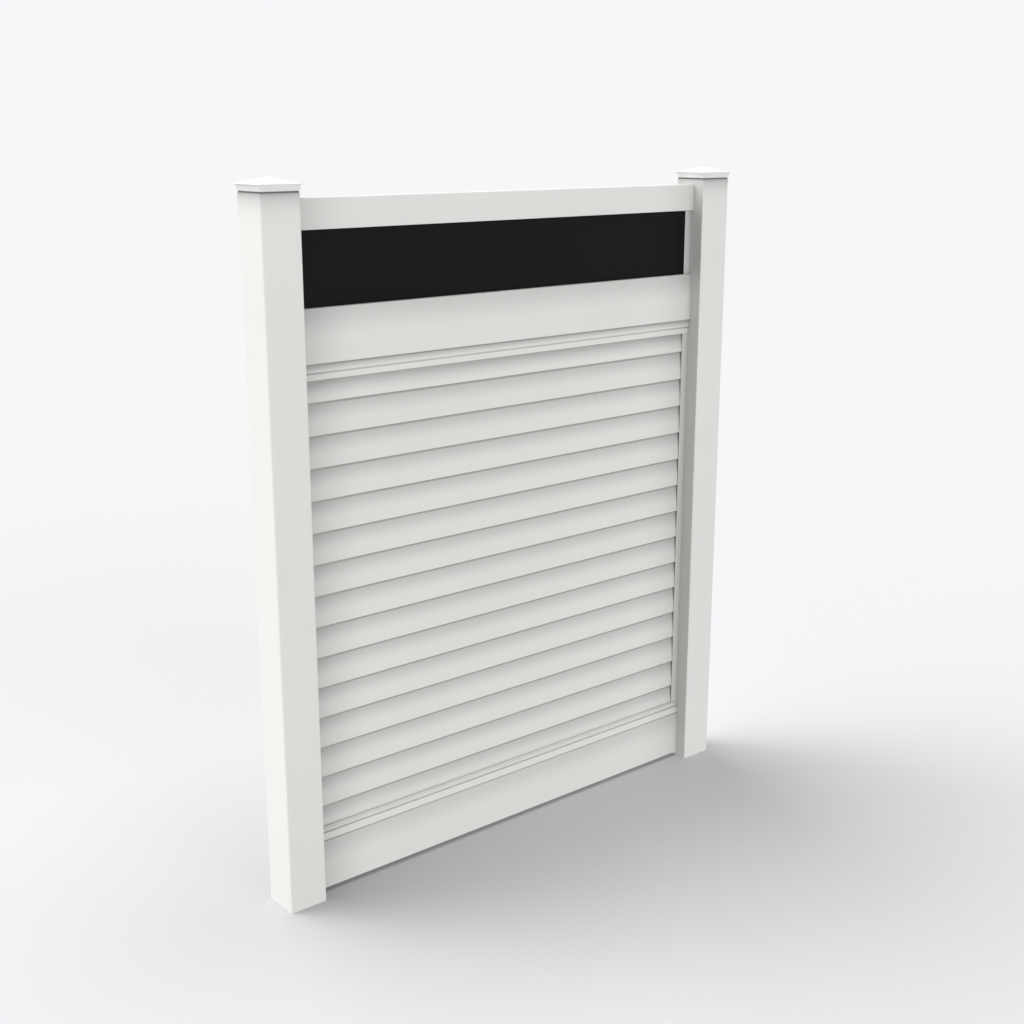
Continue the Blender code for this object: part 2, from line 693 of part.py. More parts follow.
def make_cap(name, side):
    """A moulded shell lofted through its rings and closed at its two peaks."""
    cage = bmesh.new()
    loops = []
    for half, height, radius in cap_rings():
        corners = rounded_square(half, radius)
        loops.append([cage.verts.new((across, along, height)) for across, along in corners])
    for upper, lower in zip(loops, loops[1:]):
        for place in range(len(upper)):
            after = (place + 1) % len(upper)
            cage.faces.new((upper[place], upper[after], lower[after], lower[place]))
    cage.faces.new(loops[0])
    cage.faces.new(loops[-1])
    bmesh.ops.recalc_face_normals(cage, faces=cage.faces)
    mesh = bpy.data.meshes.new(name)
    cage.to_mesh(mesh)
    cage.free()
    cap = bpy.data.objects.new(name, mesh)
    FENCE.objects.link(cap)
    cap.location = (side * POST_CENTRE, 0.0, POST_HEIGHT + CAP_REVEAL)
    paint(cap, CAP_VINYL)


def make_side(word, side):
    """Everything at one end of the bay: channels, screws, post and cap."""
    lower_levels = screw_levels(
        BOTTOM_RAIL_TOP, LOUVRE_OPENING, LOWER_SCREW_MARGIN, LOWER_SCREW_COUNT)
    upper_levels = screw_levels(
        MID_RAIL_TOP, ACCENT_OPENING, UPPER_SCREW_MARGIN, UPPER_SCREW_COUNT)
    pilots = make_channel_set(
        f"{word}_lower", side, BOTTOM_RAIL_TOP, LOUVRE_OPENING, SLAT_DEPTH,
        LOWER_CHANNEL_REACH, lower_levels)
    pilots += make_channel_set(
        f"{word}_upper", side, MID_RAIL_TOP, ACCENT_OPENING, ACCENT_THICKNESS,
        UPPER_CHANNEL_REACH, upper_levels)
    make_post(word, side, pilots)
    make_cap(f"{word}_post_cap", side)


make_bottom_rail()
make_stiffener()
make_mid_rail()
make_top_rail()
make_slats()
make_accent_panel()
make_side("left", -1)
make_side("right", 1)
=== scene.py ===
"""Looks of a horizontal privacy fence bay: hollow white vinyl with a black accent strip.

Metres, +Z up. X runs along the fence, the front faces -Y, and the ground is at zero.
"""
import math

import bmesh
import bpy
import numpy as np
from mathutils.geometry import tessellate_polygon
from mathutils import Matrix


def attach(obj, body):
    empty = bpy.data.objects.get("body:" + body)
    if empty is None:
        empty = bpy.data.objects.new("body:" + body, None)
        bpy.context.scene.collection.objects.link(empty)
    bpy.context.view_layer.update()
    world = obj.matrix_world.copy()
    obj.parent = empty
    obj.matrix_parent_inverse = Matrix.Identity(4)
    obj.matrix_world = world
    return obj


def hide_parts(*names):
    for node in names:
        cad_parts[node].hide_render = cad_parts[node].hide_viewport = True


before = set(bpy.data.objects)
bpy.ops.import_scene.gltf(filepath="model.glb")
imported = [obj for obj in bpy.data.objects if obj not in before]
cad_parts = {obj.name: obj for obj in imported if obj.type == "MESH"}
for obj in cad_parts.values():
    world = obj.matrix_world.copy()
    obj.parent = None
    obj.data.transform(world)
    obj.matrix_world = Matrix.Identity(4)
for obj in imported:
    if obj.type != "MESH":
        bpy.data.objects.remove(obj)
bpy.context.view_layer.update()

# Camera: where the photograph was taken from, a little above the caps and off to the left, with a
# lens of about 50 mm on a full frame.
EYE = (-2.96219, -3.51568, 2.34057)
VIEW_YAW = math.radians(40.1136)
VIEW_PITCH = math.radians(14.9892)
FOCAL_LENGTH = 50.237
SENSOR_WIDTH = 36.0
lens = bpy.data.cameras.new("viewpoint")
lens.lens = FOCAL_LENGTH
lens.sensor_width = SENSOR_WIDTH
viewpoint = bpy.data.objects.new("viewpoint", lens)
viewpoint.location = EYE
viewpoint.rotation_euler = (math.pi / 2 - VIEW_PITCH, 0.0, -VIEW_YAW)
bpy.context.scene.collection.objects.link(viewpoint)
bpy.context.scene.camera = viewpoint

# Ground and light: a pale studio floor, two broad lamps behind the fence on the left, a low and
# broad one in front of it, and a fill that grows from nothing at the horizon to its most overhead.
BACKGROUND = (0.939, 0.922, 0.947, 1.0)
FLOOR_COLOUR = (0.72, 0.709, 0.729, 1.0)
FLOOR_GLOW = (0.69, 0.69, 0.69, 1.0)
# Painted shadow on the floor: a dark line under the fence and a broad pool round the left post.
CONTACT_SHADOW_TONE = 0.5
CONTACT_WIDTH = (0.008, 0.03)
CONTACT_LENGTH = (0.9, 0.95)
LEFT_FOOT = (-0.878, 0.0, 0.0)
POOL_SHADOW_TONE = 0.73
POOL_REACH = 1.2
FLOOR_HALF = 60.0
FADE_START = 1.0
FADE_END = 7.0


def add_node(tree, kind, sockets=None, **options):
    """A new shader node with its options set, and each socket given a value or a link."""
    made = tree.nodes.new(kind)
    for option, value in options.items():
        setattr(made, option, value)
    for socket, value in (sockets or {}).items():
        if isinstance(value, bpy.types.NodeSocket):
            tree.links.new(value, made.inputs[socket])
        else:
            made.inputs[socket].default_value = value
    return made


def new_tree(name):
    """A material with an empty node tree."""
    material = bpy.data.materials.new(name)
    material.use_nodes = True
    material.node_tree.nodes.clear()
    return material, material.node_tree


def worked(tree, operation, *values, **options):
    """The result of a math node on its values, each of them a number or a link."""
    sockets = dict(enumerate(values))
    return add_node(tree, "ShaderNodeMath", sockets, operation=operation, **options).outputs[0]


def ranged(tree, value, start, end, first=0.0, last=1.0, easing="LINEAR"):
    """A value's way from start to end, as a value from first to last. It never leaves these two,
    and SMOOTHSTEP eases both ends of the way."""
    span = {"Value": value, "From Min": start, "From Max": end, "To Min": first, "To Max": last}
    return add_node(tree, "ShaderNodeMapRange", span, interpolation_type=easing).outputs["Result"]


def measured(tree, point, axis):
    """One coordinate of a point."""
    return add_node(tree, "ShaderNodeSeparateXYZ", {0: point}).outputs[axis]


def seen_directly(tree):
    """One for the camera, for mirror reflections and through glass, zero for other light."""
    path = add_node(tree, "ShaderNodeLightPath")
    sharp = worked(tree, "MAXIMUM", path.outputs["Is Camera Ray"], path.outputs["Is Glossy Ray"])
    return worked(tree, "MAXIMUM", sharp, path.outputs["Is Transmission Ray"])


def painted_floor_shadow(tree, place):
    """The floor's colour with painted shadow on it: darkened in the line where the fence nearly
    touches it, and in a broad pool round the left post, whose tone climbs as the square root of
    the distance."""
    away = add_node(tree, "ShaderNodeVectorMath", {0: place}, operation="ABSOLUTE").outputs["Vector"]
    tones = []
    for axis, (low, high) in (("X", CONTACT_LENGTH), ("Y", CONTACT_WIDTH)):
        off = measured(tree, away, axis)
        tones.append(ranged(tree, off, low, high, CONTACT_SHADOW_TONE, 1.0, "SMOOTHSTEP"))
    line = worked(tree, "MAXIMUM", *tones)
    foot = {0: place, 1: LEFT_FOOT}
    off = add_node(tree, "ShaderNodeVectorMath", foot, operation="DISTANCE").outputs["Value"]
    root = worked(tree, "SQRT", ranged(tree, off, 0.0, POOL_REACH))
    pool = ranged(tree, root, 0.0, 1.0, POOL_SHADOW_TONE)
    toned = {0: FLOOR_COLOUR[:3], "Scale": worked(tree, "MULTIPLY", line, pool)}
    return add_node(tree, "ShaderNodeVectorMath", toned, operation="SCALE").outputs["Vector"]


def dress_floor():
    """Diffuse near the fence, where it takes the shadow, and fading outward to the background. Towards
    the fence it glows evenly, an emission in place of the light that a floor with no shadow on it
    would throw back."""
    material, tree = new_tree("studio_floor")
    place = add_node(tree, "ShaderNodeTexCoord").outputs["Object"]
    reach = add_node(tree, "ShaderNodeVectorMath", {0: place}, operation="LENGTH").outputs["Value"]
    fade = ranged(tree, reach, FADE_START, FADE_END, easing="SMOOTHSTEP")
    direct = seen_directly(tree)
    shown = worked(tree, "MULTIPLY", fade, direct)
    seen = add_node(tree, "ShaderNodeBsdfDiffuse", {"Color": painted_floor_shadow(tree, place)}).outputs[0]
    glow = add_node(tree, "ShaderNodeEmission", {"Color": FLOOR_GLOW}).outputs[0]
    near = add_node(tree, "ShaderNodeMixShader", {0: direct, 1: glow, 2: seen}).outputs[0]
    far = add_node(tree, "ShaderNodeEmission", {"Color": BACKGROUND}).outputs[0]
    mix = add_node(tree, "ShaderNodeMixShader", {0: shown, 1: near, 2: far}).outputs[0]
    add_node(tree, "ShaderNodeOutputMaterial", {"Surface": mix})
    return material


floor_mesh = bpy.data.meshes.new("studio_floor")
corners = np.array([(-1, -1, 0), (1, -1, 0), (1, 1, 0), (-1, 1, 0)]) * FLOOR_HALF
floor_mesh.from_pydata(corners.tolist(), [], [(0, 1, 2, 3)])
floor_mesh.materials.append(dress_floor())
studio_floor = bpy.data.objects.new("studio_floor", floor_mesh)
bpy.context.scene.collection.objects.link(studio_floor)

FILL_HORIZON = 0.0
FILL_ZENITH = 0.87
world = bpy.data.worlds.new("studio")
world.use_nodes = True
bpy.context.scene.world = world
sky = world.node_tree
sky.nodes.clear()
direction = add_node(sky, "ShaderNodeTexCoord").outputs["Generated"]
strength = ranged(sky, measured(sky, direction, "Z"), 0.0, 1.0, FILL_HORIZON, FILL_ZENITH)
fill = add_node(sky, "ShaderNodeBackground", {"Strength": strength}).outputs[0]
plain = add_node(sky, "ShaderNodeBackground", {"Color": BACKGROUND}).outputs[0]
chosen = add_node(sky, "ShaderNodeMixShader", {0: seen_directly(sky), 1: fill, 2: plain}).outputs[0]
add_node(sky, "ShaderNodeOutputWorld", {"Surface": chosen})


def add_sun(name, azimuth, elevation, strength, spread):
    """A soft lamp at infinity, which shines to the middle. Azimuth runs from +X towards +Y, and its
    angles are in degrees."""
    lamp = bpy.data.lights.new(name, "SUN")
    lamp.energy = strength
    lamp.angle = math.radians(spread)
    sun = bpy.data.objects.new(name, lamp)
    sun.rotation_euler = (0.0, math.radians(90 - elevation), math.radians(azimuth))
    bpy.context.scene.collection.objects.link(sun)


add_sun("key_back", azimuth=110.0, elevation=55.0, strength=1.5, spread=50.0)
add_sun("key_side", azimuth=150.0, elevation=35.0, strength=1.88, spread=60.0)
add_sun("front_fill", azimuth=-90.0, elevation=8.0, strength=1.4, spread=50.0)
bpy.context.scene.view_settings.view_transform = "Standard"

# Bottom rail: a 38 x 210 mm hollow extrusion of white vinyl, drawn through one die. From its top
# down it has a pocket for the lowest slat between two lips, a quirk, a coved band, a second quirk
# and a flat face. Its ends stand 32 mm inside the posts, clear of the ground.
FIT_GAP = 0.0003
QUARTER = math.pi / 2
ROUND_STEPS = 8
GROOVE_STEPS = 12
WELD = 0.000001
SHARP_ANGLE = math.radians(32.0)
BAY_WIDTH = 1.6293
RAIL_HALF = 0.01905
RAIL_WALL = 0.0023
RAIL_INSERT = 0.032
RAIL_END = BAY_WIDTH / 2 + RAIL_INSERT
MOULDED_HEIGHT = 0.21
MOULDED_RADIUS = 0.002
POCKET_HALF = 0.0095
POCKET_DEPTH = 0.03
LIP_HALF = 0.0127
LIP_BAND = 0.022
LIP_RADIUS = 0.0018
LIP_QUIRK = 0.0012
COVE_BAND = 0.0265
COVE_FOOT_RECESS = 0.005
COVE_HEAD_RECESS = 0.0008
COVE_FOOT = RAIL_HALF - COVE_FOOT_RECESS
COVE_HEAD = RAIL_HALF - COVE_HEAD_RECESS
COVE_SAG = 0.0006
FACE_QUIRK = 0.0016
FACE_RADIUS = 0.0008
QUIRK_HEIGHT = 0.0022
STEP_LEVEL = LIP_BAND + COVE_BAND
RIB_SHARE = 0.46
BOTTOM_RAIL_FOOT = 0.0135
VINYL_PALE = (0.88, 0.872, 0.85, 1.0)
VINYL_DEEP = (0.85, 0.842, 0.82, 1.0)
VINYL_IOR = 1.53
# Painted shade: the colour towards which the vinyl's colour is multiplied where the pieces around it
# keep light off. The other tones are the most of this painted shade that counts there, and a reach
# says over how many metres it comes in.
PAINTED_SHADE = (0.45, 0.45, 0.45, 1.0)
QUIRK_TONE = 0.55
END_REACH = 0.22
END_TONES = (0.6, 0.38)
END_POWER = 1.6
FACE_REACH = 0.09
FACE_TONE = 0.32
LIP_REACH = 0.02
LIP_TONE = 0.35
DRAWN_ALONG_X = (0.012, 1.0, 1.0)
DRAW_LINES = 700.0
DRAW_DETAIL = 3.0
DRAW_ROUGHNESS = 0.6
# A relief is how strong the bump is, and its depth in metres.
DRAW_RELIEF = (0.25, 0.00006)
DRAW_GLOSS = (0.36, 0.46)
CLOUDS = 1.8
CLOUD_SPAN = (0.45, 0.9)
LINE_SHARE = 0.35
GRAINS = 1800.0
GRAIN_SHARE = 0.3
NOISE_SPAN = (0.3, 0.7)


def arc(centre, radius, start, end, steps=ROUND_STEPS):
    """Points on a circle about the centre, evenly spaced in angle, both ends included."""
    angles = np.linspace(start, end, steps + 1)
    return np.stack([centre[0] + radius * np.cos(angles), centre[1] + radius * np.sin(angles)], 1)


def mirrored(*stretches):
    """A closed outline: the half on the positive side, then the same half backwards with its
    across values negated."""
    half = np.concatenate([np.asarray(part, float).reshape(-1, 2) for part in stretches])
    return np.concatenate([half, half[::-1] * (-1, 1)])


def wound(loop, hole=False):
    """The outline turned anticlockwise by the sign of its area, or clockwise for a hole."""
    ahead = np.roll(loop, -1, 0)
    area = np.sum(loop[:, 0] * ahead[:, 1] - ahead[:, 0] * loop[:, 1])
    return loop[::-1] if (area < 0) != hole else loop


def wall(line, low, high, closed=True):
    """The outline's points at two depths, with a quad on each step of the outline."""
    count = len(line)
    points = np.concatenate([np.column_stack([line, np.full(count, at)]) for at in (low, high)])
    here = np.arange(count if closed else count - 1)
    after = (here + 1) % count
    return points, np.stack([here, after, after + count, here + count], 1)


def plate(loops, at, up):
    """A flat face at one depth, inside the first outline and outside the others, cut in triangles
    that are all turned, by the sign of their area, to face up or down."""
    flat = np.concatenate(loops)
    level = [np.column_stack([loop, np.zeros(len(loop))]).tolist() for loop in loops]
    triangles = np.array(tessellate_polygon(level))
    a, b, c = (flat[triangles[:, i]] for i in range(3))
    turn = (b[:, 0] - a[:, 0]) * (c[:, 1] - a[:, 1]) - (b[:, 1] - a[:, 1]) * (c[:, 0] - a[:, 0])
    wrong = (turn > 0) != up
    triangles[wrong] = triangles[wrong][:, ::-1]
    return np.column_stack([flat, np.full(len(flat), at)]), triangles


def bar(outlines, low, high):
    """The shells of a hollow bar: a wall on each outline and a plate at each end."""
    loops = [wound(loop, hole=number > 0) for number, loop in enumerate(outlines)]
    walls = [wall(loop, low, high) for loop in loops]
    return walls + [plate(loops, low, False), plate(loops, high, True)]


def along_x(shells, foot=0.0):
    """Shells whose outlines lie across the fence and up it, laid with their depth along X."""
    return [(points[:, (2, 0, 1)] + (0.0, 0.0, foot), faces) for points, faces in shells]


def make_piece(name, shells, material, nodes, side=1):
    """One closed mesh from its shells, for the left side mirrored in X with its faces turned back.
    It rides on the root and stands for its CAD nodes."""
    starts = np.cumsum([0] + [len(points) for points, _ in shells])
    points = np.concatenate([points for points, _ in shells]) * (side, 1, 1)
    faces = [face[::side] for (_, part), start in zip(shells, starts) for face in (part + start).tolist()]
    mesh = bpy.data.meshes.new(name)
    mesh.from_pydata(points.tolist(), [], faces)
    cage = bmesh.new()
    cage.from_mesh(mesh)
    bmesh.ops.remove_doubles(cage, verts=cage.verts, dist=WELD)
    cage.to_mesh(mesh)
    cage.free()
    mesh.shade_smooth()
    mesh.set_sharp_from_angle(angle=SHARP_ANGLE)
    mesh.materials.append(material)
    made = bpy.data.objects.new(name, mesh)
    bpy.context.scene.collection.objects.link(made)
    even = made.modifiers.new("flat_faces_shade_flat", "WEIGHTED_NORMAL")
    even.keep_sharp = True
    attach(made, "root")
    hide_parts(*nodes)


def height_of(tree, place):
    """The height of a point, which in Object coordinates is its height above the ground."""
    return measured(tree, place, "Z")


def rise(tree, level, low, high, most):
    """A share that climbs from 0 to the most it may be between two levels, eased at both ends."""
    return ranged(tree, level, low, high, 0.0, most, "SMOOTHSTEP")


def under_edge(tree, level, edge, reach, most):
    """A share of painted shade that climbs over a reach below an edge that stands proud, and ends at it.
    """
    inside = worked(tree, "LESS_THAN", level, edge)
    return worked(tree, "MULTIPLY", inside, rise(tree, level, edge - reach, edge, most))


def summed(tree, *shares):
    """The sum of several shares, at most 1."""
    total = shares[0]
    for share in shares[1:]:
        total = worked(tree, "ADD", total, share, use_clamp=True)
    return total


def painted_shade_by_posts(tree, place):
    """A share of painted shade that climbs towards both posts as a power of the way there, and
    further at the left one, which stands between the bay and the light."""
    along = measured(tree, place, "X")
    end = BAY_WIDTH / 2
    most = ranged(tree, along, -end, end, *END_TONES)
    way = ranged(tree, worked(tree, "ABSOLUTE", along), end - END_REACH, end)
    return worked(tree, "MULTIPLY", worked(tree, "POWER", way, END_POWER), most)


def noise(tree, place, scale, detail=2.0, roughness=0.5):
    """Soft noise from 0 to 1, with its waves per metre as the scale."""
    look = {"Vector": place, "Scale": scale, "Detail": detail, "Roughness": roughness}
    return add_node(tree, "ShaderNodeTexNoise", look).outputs["Fac"]


def blended(tree, share, first, second, way="MIX"):
    """Two colours mixed by a share, or the first multiplied by the second as far as it says. A mix
    node has its colours in sockets 6 and 7, and theirs is its output 2."""
    colours = {0: share, 6: first, 7: second}
    return add_node(tree, "ShaderNodeMix", colours, data_type="RGBA", blend_type=way).outputs[2]


def relief(tree, height, strength, depth):
    """The normal of a surface on which a height from 0 to 1 stands for a depth in metres."""
    look = {"Height": height, "Strength": strength, "Distance": depth}
    return add_node(tree, "ShaderNodeBump", look).outputs["Normal"]


def finish_with(tree, colour, rough, normal, **others):
    """The surface's shader, with its finish on the sockets."""
    finish = {"Base Color": colour, "Roughness": rough, "Normal": normal, **others}
    shader = add_node(tree, "ShaderNodeBsdfPrincipled", finish).outputs[0]
    add_node(tree, "ShaderNodeOutputMaterial", {"Surface": shader})


def extruded_vinyl(name, stretch, painted_shade_share):
    """White vinyl as it leaves the die: a slow cloudy drift of tone, fine lines drawn along its
    length that catch the light through roughness and bump, and a faint grain. Where a share says
    that the pieces around it keep the light off, painted shade deepens its colour."""
    material, tree = new_tree(name)
    place = add_node(tree, "ShaderNodeTexCoord").outputs["Object"]
    drawn = add_node(tree, "ShaderNodeMapping", {"Vector": place, "Scale": stretch}).outputs[0]
    lines = noise(tree, drawn, DRAW_LINES, DRAW_DETAIL, DRAW_ROUGHNESS)
    cloud = worked(tree, "MULTIPLY_ADD", lines, LINE_SHARE, noise(tree, place, CLOUDS))
    colour = blended(tree, ranged(tree, cloud, *CLOUD_SPAN), VINYL_DEEP, VINYL_PALE)
    # Painted shade: the colour is multiplied towards the shade tone as far as the share says.
    colour = blended(tree, painted_shade_share(tree, place), colour, PAINTED_SHADE, "MULTIPLY")
    rough = ranged(tree, lines, *NOISE_SPAN, *DRAW_GLOSS)
    height = worked(tree, "MULTIPLY_ADD", noise(tree, place, GRAINS), GRAIN_SHARE, lines)
    finish_with(tree, colour, rough, relief(tree, height, *DRAW_RELIEF), IOR=VINYL_IOR)
    return material


def cove_half(level):
    """Half thickness on the straight chord of the coved band, which widens from lips to face."""
    return COVE_FOOT + (COVE_HEAD - COVE_FOOT) * (level - LIP_BAND) / COVE_BAND


def quirk(edge, head, depth):
    """A half-round groove below a level: a half ellipse cut into a vertical side."""
    angles = np.linspace(-QUARTER, QUARTER, GROOVE_STEPS + 1)
    return np.stack([edge - depth * np.cos(angles), head - QUIRK_HEIGHT / 2 * (1 - np.sin(angles))], 1)


def cove():
    """The coved band: its chord less a parabola that is deepest halfway."""
    share = np.linspace(0.0, 1.0, GROOVE_STEPS + 1)
    level = LIP_BAND + (COVE_BAND - QUIRK_HEIGHT) * share
    return np.stack([cove_half(level) - COVE_SAG * 4 * share * (1 - share), level], 1)


def moulded_side():
    """The outer side of a moulded rail, from the foot of a lip to the far edge of its face."""
    lip_centre = (LIP_HALF - LIP_RADIUS, LIP_RADIUS)
    face_centre = (RAIL_HALF - FACE_RADIUS, STEP_LEVEL + FACE_RADIUS)
    far_centre = (RAIL_HALF - MOULDED_RADIUS, MOULDED_HEIGHT - MOULDED_RADIUS)
    return np.concatenate([
        arc(lip_centre, LIP_RADIUS, -QUARTER, 0.0),
        quirk(LIP_HALF, LIP_BAND, LIP_QUIRK),
        cove(),
        quirk(cove_half(STEP_LEVEL - QUIRK_HEIGHT), STEP_LEVEL, FACE_QUIRK)[1:],
        arc(face_centre, FACE_RADIUS, -QUARTER, 0.0),
        arc(far_centre, MOULDED_RADIUS, 0.0, QUARTER),
    ])


def chamber_side(low, high):
    """Half widths of a hollow between two levels, one wall inside the moulded side."""
    inner = RAIL_HALF - RAIL_WALL
    ledge = STEP_LEVEL + RAIL_WALL
    if low >= ledge:
        return [(inner, low), (inner, high)]
    neck = cove_half(STEP_LEVEL) - FACE_QUIRK - RAIL_WALL
    foot = min(cove_half(low) - COVE_SAG - RAIL_WALL, neck)
    return [(foot, low), (neck, ledge), (inner, ledge), (inner, high)]


def moulded_rail(groove_half=0.0, groove_depth=0.0):
    """Outside and two chambers of a moulded rail with its pocket downward, and in its far edge a
    groove where it has one."""
    floor = POCKET_DEPTH + RAIL_WALL
    ceiling = MOULDED_HEIGHT - RAIL_WALL
    rib = floor + (ceiling - floor) * RIB_SHARE
    pocket = [(POCKET_HALF, POCKET_DEPTH), (POCKET_HALF, 0.0)]
    groove, liner = np.empty((0, 2)), np.empty((0, 2))
    if groove_depth:
        base = MOULDED_HEIGHT - groove_depth
        groove = [(groove_half, MOULDED_HEIGHT), (groove_half, base)]
        liner = [(groove_half + RAIL_WALL, ceiling), (groove_half + RAIL_WALL, base - RAIL_WALL)]
    upper = mirrored(chamber_side(rib + RAIL_WALL, ceiling), liner)
    return [mirrored(pocket, moulded_side(), groove), mirrored(chamber_side(floor, rib)), upper]


def painted_quirk_shade(tree, level, share, heads):
    """The share, or the deeper painted shade of a quirk below each of the heads, which fades out above
    and below it."""
    for head in heads:
        off = worked(tree, "ABSOLUTE", worked(tree, "SUBTRACT", level, head - QUIRK_HEIGHT / 2))
        tone = ranged(tree, off, QUIRK_HEIGHT / 2, 2 * QUIRK_HEIGHT, QUIRK_TONE, 0.0, "SMOOTHSTEP")
        share = worked(tree, "MAXIMUM", share, tone)
    return share


def painted_shade_below_slats(tree, place):
    """Painted shade on the bottom rail: the upper part of its face, which ends at its quirk, the lip
    under the lowest slat, both quirks, and the ends."""
    level = height_of(tree, place)
    top = BOTTOM_RAIL_FOOT + MOULDED_HEIGHT
    face = under_edge(tree, level, top - STEP_LEVEL, FACE_REACH, FACE_TONE)
    lip = under_edge(tree, level, top + WELD, LIP_REACH, LIP_TONE)
    heads = [top + QUIRK_HEIGHT - band for band in (STEP_LEVEL, LIP_BAND)]
    return summed(tree, painted_quirk_shade(tree, level, face, heads), lip, painted_shade_by_posts(tree, place))


bottom_vinyl = extruded_vinyl("bottom_rail_vinyl", DRAWN_ALONG_X, painted_shade_below_slats)
upturned = [outline * (1, -1) + (0, MOULDED_HEIGHT) for outline in moulded_rail()]
bottom_rail_shells = along_x(bar(upturned, -RAIL_END, RAIL_END), BOTTOM_RAIL_FOOT)
make_piece("vinyl_bottom_rail", bottom_rail_shells, bottom_vinyl, ["bottom_rail"])

# Stiffener: a U of mill-finish aluminium inside the bottom rail, which keeps the rail from sagging
# under the slats. It is extruded, and slid in from the rail's end.
ALUMINIUM = (0.62, 0.63, 0.64, 1.0)
MILL_LINES = 900.0
MILL_GLOSS = (0.3, 0.45)
METAL_DETAIL = 4.0
METAL_RELIEF = (0.3, 0.00005)


def dress_metal(name, colour, stretch, scale, gloss):
    """Bare metal with fine lines left by the tool, which vary the roughness along its length."""
    material, tree = new_tree(name)
    place = add_node(tree, "ShaderNodeTexCoord").outputs["Object"]
    drawn = add_node(tree, "ShaderNodeMapping", {"Vector": place, "Scale": stretch}).outputs[0]
    marks = noise(tree, drawn, scale, METAL_DETAIL)
    rough = ranged(tree, marks, *NOISE_SPAN, *gloss)
    finish_with(tree, colour, rough, relief(tree, marks, *METAL_RELIEF), Metallic=1.0)
    return material


def dress_nodes(names, material):
    """Gives CAD nodes whose shape is kept a finish of their own."""
    for name in names:
        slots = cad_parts[name].data.materials
        slots.clear()
        slots.append(material)


mill_aluminium = dress_metal("mill_aluminium", ALUMINIUM, DRAWN_ALONG_X, MILL_LINES, MILL_GLOSS)
dress_nodes(["bottom_rail_stiffener"], mill_aluminium)

# Louvre slats: fifteen hollow boards of white vinyl, 18.4 mm deep, stacked from the bottom rail's
# pocket to the mid rail's. Each leans back as it rises, stands with its slot on the tongue of the
# slat below, and hangs a rounded drip lip over it. The top one is ripped down to fit.
SLAT_COUNT = 15
SLAT_PITCH = 0.0984
SLAT_DEPTH = 0.0184
SLAT_LEAN = 0.007
SLAT_WALL = 0.0016
SLAT_LIP_RADIUS = 0.0016
SLAT_CREST_RADIUS = 0.0012
DRIP_DROP = 0.0022
DRIP_THICKNESS = 0.003
TONGUE_THICKNESS = 0.0026
TONGUE_HEIGHT = 0.008
TONGUE_CHAMFER = 0.0006
TOP_SLAT_TRIM = 0.0057
SLAT_RIB_SHARE = 0.55
SLAT_END = 0.80805
SHOULDER = SLAT_PITCH + DRIP_DROP - FIT_GAP
CREST = SHOULDER - TOP_SLAT_TRIM
LOWEST_LIP = BOTTOM_RAIL_FOOT + MOULDED_HEIGHT - POCKET_DEPTH + FIT_GAP
MID_RAIL_FOOT = 1.6363
# Painted shade on the slats: a rise under each lip, a deep line at it, and more under the mid rail.
SLOPE_SPAN = (0.3 * SLAT_PITCH, 1.05 * SLAT_PITCH)
SLOPE_TONE = 0.56
LINE_SPAN = (0.9 * SLAT_PITCH, 0.95 * SLAT_PITCH)
LINE_TONE = 0.6
HEAD_REACH = 0.06
HEAD_TONE = 0.6


def slat_front(level):
    """Where the leaning front face is, across the fence, at a level above the lip."""
    return SLAT_LEAN * level / (SLAT_PITCH + DRIP_DROP) - SLAT_DEPTH / 2


def slat_back(level):
    """Where the back face is, parallel to the front one."""
    return slat_front(level) + SLAT_DEPTH - SLAT_LEAN


def slat_hollow(low, high):
    """A chamber between two levels, one wall inside the leaning faces."""
    return np.array([
        (slat_back(high) - SLAT_WALL, high),
        (slat_back(low) - SLAT_WALL, low),
        (slat_front(low) + SLAT_WALL, low),
        (slat_front(high) + SLAT_WALL, high),
    ])


